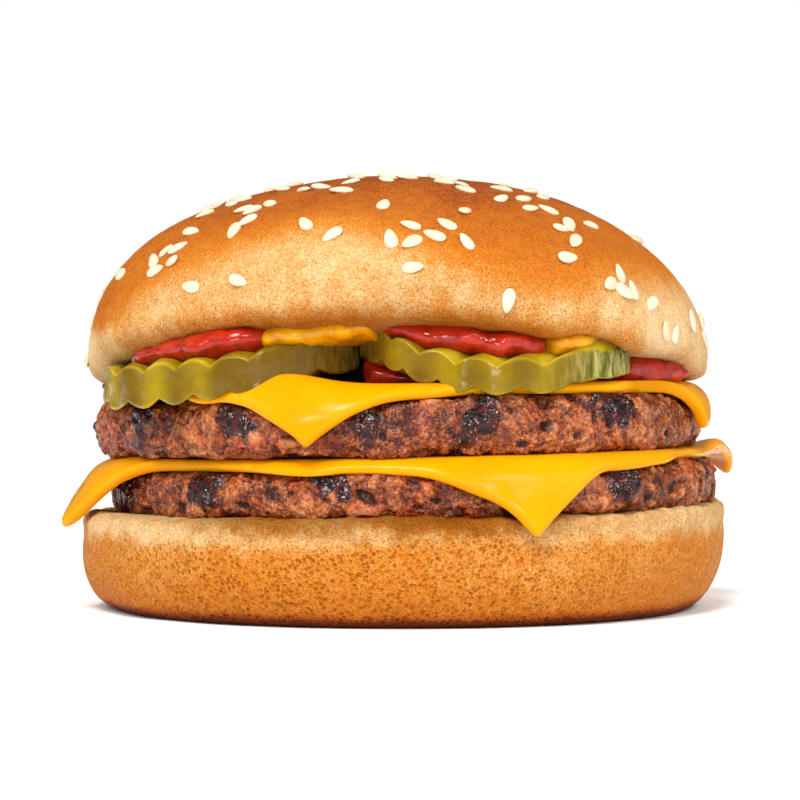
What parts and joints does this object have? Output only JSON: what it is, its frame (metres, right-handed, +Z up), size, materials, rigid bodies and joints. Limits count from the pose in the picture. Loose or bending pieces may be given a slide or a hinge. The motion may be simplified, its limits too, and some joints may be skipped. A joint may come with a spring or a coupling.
{
  "type": "double cheeseburger",
  "caption": "Double cheeseburger: a sesame bun closed over beef patties, cheese slices with hanging corners, crinkle-cut pickles, ketchup and mustard.",
  "frame": {"origin": "centre of the flat underside of the bun's bottom half", "axes": "+Z up through the stack, -Y towards the front, where both slices show a hanging corner and the pickles show"},
  "size_m": [0.1085, 0.1041, 0.0691],
  "materials": {
    "bun": "baked crust, satin",
    "patty": "grilled minced beef, greasy in spots",
    "cheese": "melted, soft gloss",
    "pickle": "wet, slightly translucent",
    "ketchup": "glossy sauce",
    "mustard": "glossy sauce",
    "seed": "dry toasted seed, satin"
  },
  "bodies": {
    "root": {"bun_bottom": "bun", "patty_lower": "patty", "cheese_lower": "cheese", "patty_upper": "patty", "cheese_upper": "cheese", "pickle_left": "pickle", "pickle_right": "pickle", "ketchup": "ketchup", "mustard": "mustard", "bun_top": "bun"}
  },
  "joints": []
}
